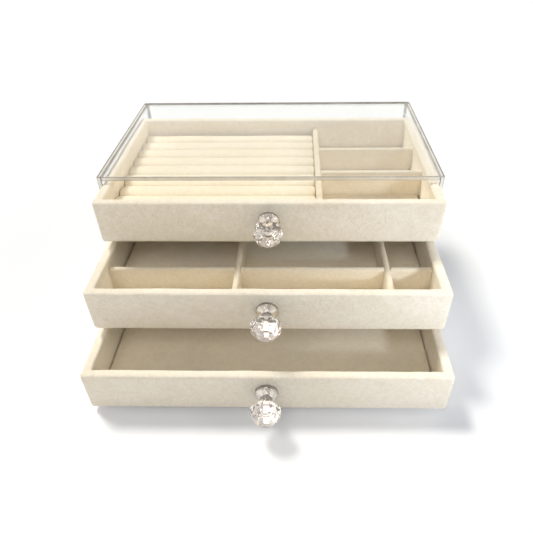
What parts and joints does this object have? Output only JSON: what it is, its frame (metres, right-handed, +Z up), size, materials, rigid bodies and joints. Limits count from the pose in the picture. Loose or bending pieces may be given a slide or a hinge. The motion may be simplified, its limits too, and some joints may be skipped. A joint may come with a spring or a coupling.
{
  "type": "jewellery organizer with drawers",
  "caption": "Clear acrylic open-front case with velvet-lined sliding tray drawers for rings and small jewellery, each pulled by a faceted clear knob.",
  "frame": {"origin": "centre of the case's underside, on the surface it stands on", "axes": "+X to the right seen from the front, +Y to the back, +Z up; the drawers open towards -Y"},
  "size_m": [0.235, 0.268, 0.111],
  "materials": {
    "clear_acrylic": "clear cast sheet with polished edges",
    "knob_acrylic": "clear, flat polished facets",
    "velvet": "short-pile cream velvet",
    "velvet_lining": "short-pile cream velvet over thin padding",
    "velvet_divider": "short-pile cream velvet over card",
    "velvet_rolls": "short-pile cream velvet over foam",
    "board": "raw fibreboard",
    "card": "grey card",
    "screw_steel": "zinc-plated"
  },
  "bodies": {
    "case": {"case_back": "clear_acrylic", "case_base": "clear_acrylic", "case_left_side": "clear_acrylic", "case_lower_shelf": "clear_acrylic", "case_right_side": "clear_acrylic", "case_top": "clear_acrylic", "case_upper_shelf": "clear_acrylic"},
    "top_drawer": {"top_back_board": "board", "top_floor_board": "board", "top_floor_lining": "velvet_lining", "top_front_board": "board", "top_front_cross_divider": "velvet_divider", "top_knob": "knob_acrylic", "top_knob_screw": "screw_steel", "top_left_board": "board", "top_long_divider": "velvet_divider", "top_rear_cross_divider": "velvet_divider", "top_right_board": "board", "top_ring_roll_card": "card", "top_ring_roll_cushion": "velvet_rolls", "top_velvet_wrap": "velvet"},
    "middle_drawer": {"middle_back_board": "board", "middle_centre_cross_divider": "velvet_divider", "middle_floor_board": "board", "middle_floor_lining": "velvet_lining", "middle_front_board": "board", "middle_knob": "knob_acrylic", "middle_knob_screw": "screw_steel", "middle_left_board": "board", "middle_left_cross_divider": "velvet_divider", "middle_left_long_divider": "velvet_divider", "middle_right_board": "board", "middle_right_cross_divider": "velvet_divider", "middle_right_long_divider": "velvet_divider", "middle_velvet_wrap": "velvet"},
    "bottom_drawer": {"bottom_back_board": "board", "bottom_floor_board": "board", "bottom_floor_lining": "velvet_lining", "bottom_front_board": "board", "bottom_knob": "knob_acrylic", "bottom_knob_screw": "screw_steel", "bottom_left_board": "board", "bottom_right_board": "board", "bottom_velvet_wrap": "velvet"}
  },
  "joints": [
    {"name": "top_drawer_slide", "type": "slide", "parent": "case", "child": "top_drawer", "axis": [0, -1, 0], "range_m": [-0.024, 0.092]},
    {"name": "middle_drawer_slide", "type": "slide", "parent": "case", "child": "middle_drawer", "axis": [0, -1, 0], "range_m": [-0.071, 0.045]},
    {"name": "bottom_drawer_slide", "type": "slide", "parent": "case", "child": "bottom_drawer", "axis": [0, -1, 0], "range_m": [-0.106, 0.01]}
  ]
}
